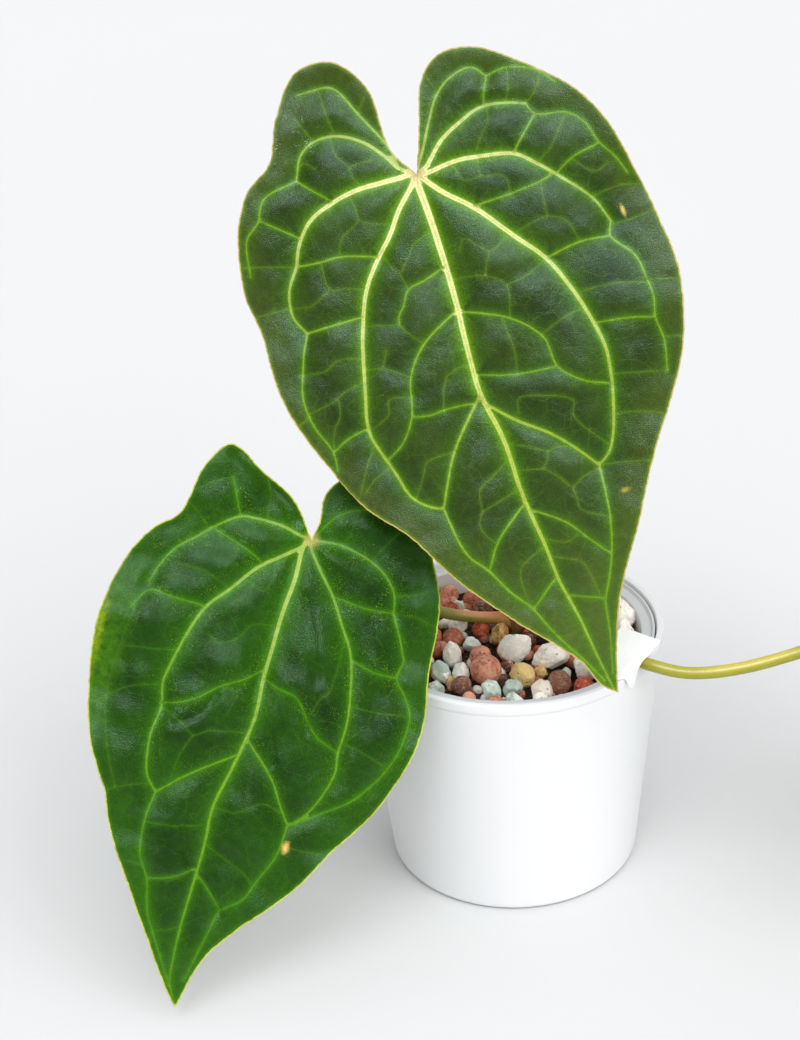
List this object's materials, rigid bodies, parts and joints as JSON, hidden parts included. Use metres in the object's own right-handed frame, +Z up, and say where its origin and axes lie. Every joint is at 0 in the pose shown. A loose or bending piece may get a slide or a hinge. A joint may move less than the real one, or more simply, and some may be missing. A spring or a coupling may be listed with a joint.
{
  "type": "potted anthurium hybrid",
  "caption": "Potted aroid house plant with large heart-shaped veined leaves, in a mineral stone mix in a grey nursery pot inside a white tapered cover pot.",
  "frame": {"origin": "centre of the cover pot's flat underside, on the surface it stands on", "axes": "+Z up; +Y away from the viewer of the front, where the two large leaves show; +X to the viewer's right, towards the third leaf"},
  "size_m": [0.4346, 0.1888, 0.3531],
  "materials": {
    "white_pot": "smooth matt white",
    "grey_pot": "light grey moulded plastic",
    "mineral_stones": "mixed fired clay, pumice, lava and zeolite, dry and matt",
    "crown_tissue": "short stem with drying sheaths",
    "root_tissue": "thick pale roots",
    "petiole": "smooth yellow-green stalk with pale flecks",
    "leaf_blade": "velvety dark green with pale veins",
    "white_sheet": "blank soft white sheet"
  },
  "bodies": {
    "root": {"outer_pot": "white_pot", "inner_pot": "grey_pot", "mineral_substrate": "mineral_stones", "crown": "crown_tissue", "roots": "root_tissue", "upper_petiole": "petiole", "lower_petiole": "petiole", "right_petiole": "petiole", "upper_leaf": "leaf_blade", "lower_leaf": "leaf_blade", "right_leaf": "leaf_blade", "petiole_pad": "white_sheet"}
  },
  "joints": []
}
